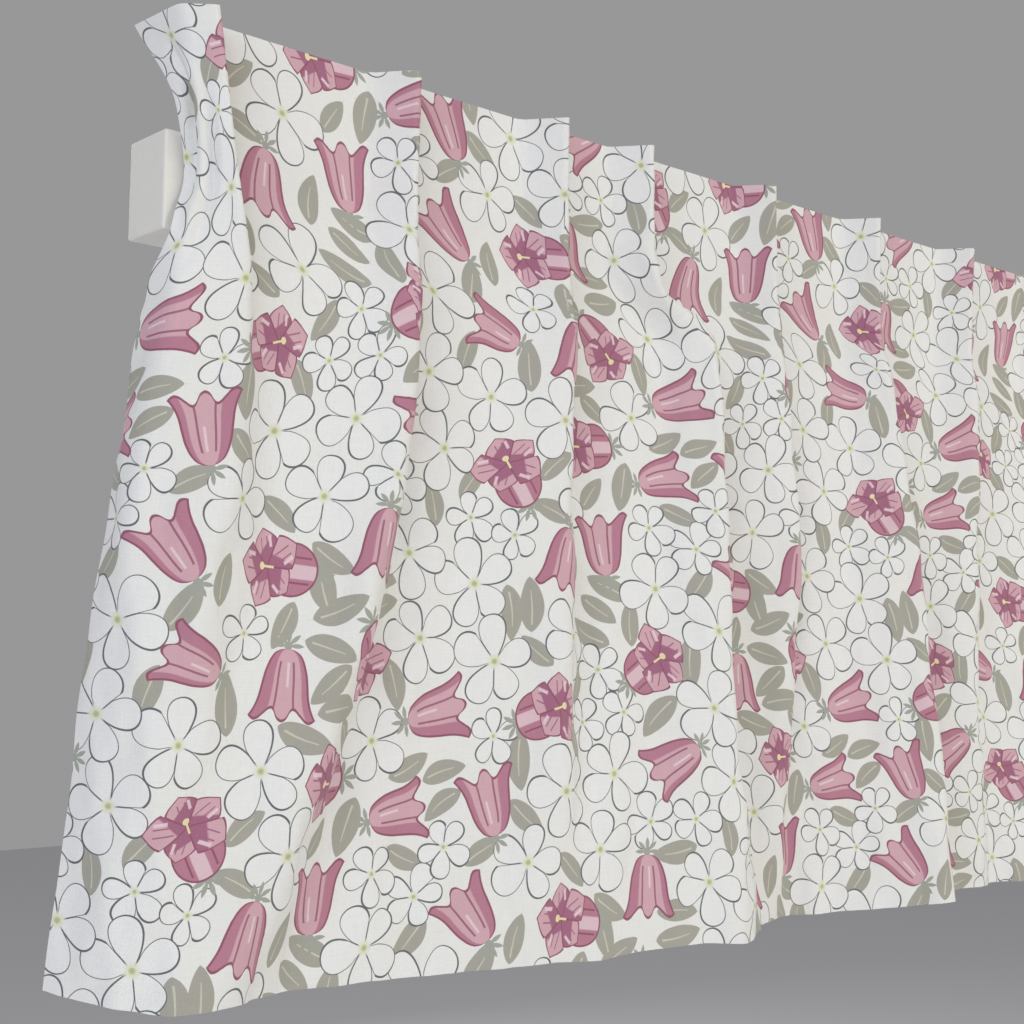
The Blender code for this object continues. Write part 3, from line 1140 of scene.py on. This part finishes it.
def rail_material():
    """Satin paint on planed softwood: the grain still shows a little through it."""
    material = bpy.data.materials.new("satin_white_paint")
    material.use_nodes = True
    tree = material.node_tree
    shader = tree.nodes["Principled BSDF"]
    place = tree.nodes.new("ShaderNodeTexCoord").outputs["Object"]
    grain = add_noise(tree, place, GRAIN, 4.0)
    brushing = add_noise(tree, place, BRUSHING, 2.0)
    patches = add_noise(tree, place, PATCHES, 3.0)
    dark = (patches * 0.6 + grain * 0.5 - 0.3).math("MULTIPLY", 1.0, clamp=True)
    tree.links.new(painted(tree, RAIL_PAINT, RAIL_PAINT_DARK, dark), shader.inputs["Base Color"])
    plug(tree, brushing * 0.2 + 0.38, shader.inputs["Roughness"])
    bump = tree.nodes.new("ShaderNodeBump")
    bump.inputs["Strength"].default_value = 0.35
    bump.inputs["Distance"].default_value = 0.2 * MM
    plug(tree, grain * 0.7 + brushing * 0.3, bump.inputs["Height"])
    tree.links.new(bump.outputs[0], shader.inputs["Normal"])
    return material


FLOOR_Z = -1.25
FLOOR_SIZE = 14.0
FLOOR_COLOUR = (216, 216, 218)


def make_floor():
    mesh = bpy.data.meshes.new("floor")
    half = FLOOR_SIZE / 2
    corners = [(x * half, y * half, FLOOR_Z) for x, y in ((-1, -1), (1, -1), (1, 1), (-1, 1))]
    mesh.from_pydata(corners, [], [(0, 1, 2, 3)])
    floor = bpy.data.objects.new("floor", mesh)
    bpy.context.scene.collection.objects.link(floor)
    material = bpy.data.materials.new("pale_floor")
    material.use_nodes = True
    shader = material.node_tree.nodes["Principled BSDF"]
    shader.inputs["Base Color"].default_value = linear(FLOOR_COLOUR)
    shader.inputs["Roughness"].default_value = 0.9
    mesh.materials.append(material)


WORLD_COLOUR = (0.64, 0.636, 0.65, 1.0)
WORLD_STRENGTH = 0.49
# Soft square lights: name, place, the place they point at, side, watts, colour
LIGHTS = (
    ("window_left", (-2.4, -1.4, 0.25), (0.0, 0.0, -0.1), 1.6, 23.2, (0.92, 0.96, 1.02)),
    ("fill_right", (0.9, -2.5, 0.1), (0.1, 0.0, -0.1), 1.6, 24.9, (1.085, 1.03, 0.85)),
    ("back_soft", (0.6, 2.7, 0.7), (0.0, 0.0, -0.1), 2.0, 34.0, (1.0, 1.0, 1.0)),
    ("overhead", (0.0, 0.0, 2.6), (0.0, 0.0, 0.0), 5.0, 32.0, (1.0, 1.0, 1.0)),
)


def add_area_light(name, place, target, side, power, colour):
    light = bpy.data.lights.new(name, "AREA")
    light.shape = "SQUARE"
    light.size = side
    light.energy = power
    light.color = colour
    lamp = bpy.data.objects.new(name, light)
    lamp.location = place
    aim = Vector(target) - Vector(place)
    lamp.rotation_euler = aim.to_track_quat("-Z", "Y").to_euler()
    bpy.context.scene.collection.objects.link(lamp)


def light_scene():
    world = bpy.data.worlds.new("studio")
    bpy.context.scene.world = world
    world.use_nodes = True
    background = world.node_tree.nodes["Background"]
    background.inputs["Color"].default_value = WORLD_COLOUR
    background.inputs["Strength"].default_value = WORLD_STRENGTH
    for light in LIGHTS:
        add_area_light(*light)


# The camera, from the straight edges of the photograph; its angles are in radians
CAMERA_PLACE = (-0.951, -0.666, -0.212)
CAMERA_YAW = 0.7299
CAMERA_PITCH = 0.0859
CAMERA_ROLL = -0.0120
CAMERA_LENS = 55.59
SENSOR = 36.0


def make_camera():
    forward = Vector(
        (
            math.sin(CAMERA_YAW) * math.cos(CAMERA_PITCH),
            math.cos(CAMERA_YAW) * math.cos(CAMERA_PITCH),
            math.sin(CAMERA_PITCH),
        )
    )
    level_right = Vector((math.cos(CAMERA_YAW), -math.sin(CAMERA_YAW), 0.0))
    level_up = level_right.cross(forward)
    right = math.cos(CAMERA_ROLL) * level_right - math.sin(CAMERA_ROLL) * level_up
    up = math.sin(CAMERA_ROLL) * level_right + math.cos(CAMERA_ROLL) * level_up
    turned = Matrix((right, up, -forward)).transposed().to_4x4()
    data = bpy.data.cameras.new("photograph_view")
    data.lens = CAMERA_LENS
    data.sensor_width = SENSOR
    data.clip_start = 0.01
    camera = bpy.data.objects.new("photograph_view", data)
    camera.matrix_world = Matrix.Translation(CAMERA_PLACE) @ turned
    bpy.context.scene.collection.objects.link(camera)
    bpy.context.scene.camera = camera


def main():
    bpy.context.scene.view_settings.view_transform = "Standard"
    make_camera()
    make_floor()
    light_scene()
    cloth = make_cloth(cloth_materials())
    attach(cloth, "root")
    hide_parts("valance_cloth")
    rail = bpy.data.objects["rail"]
    rail.material_slots[0].material = rail_material()


main()
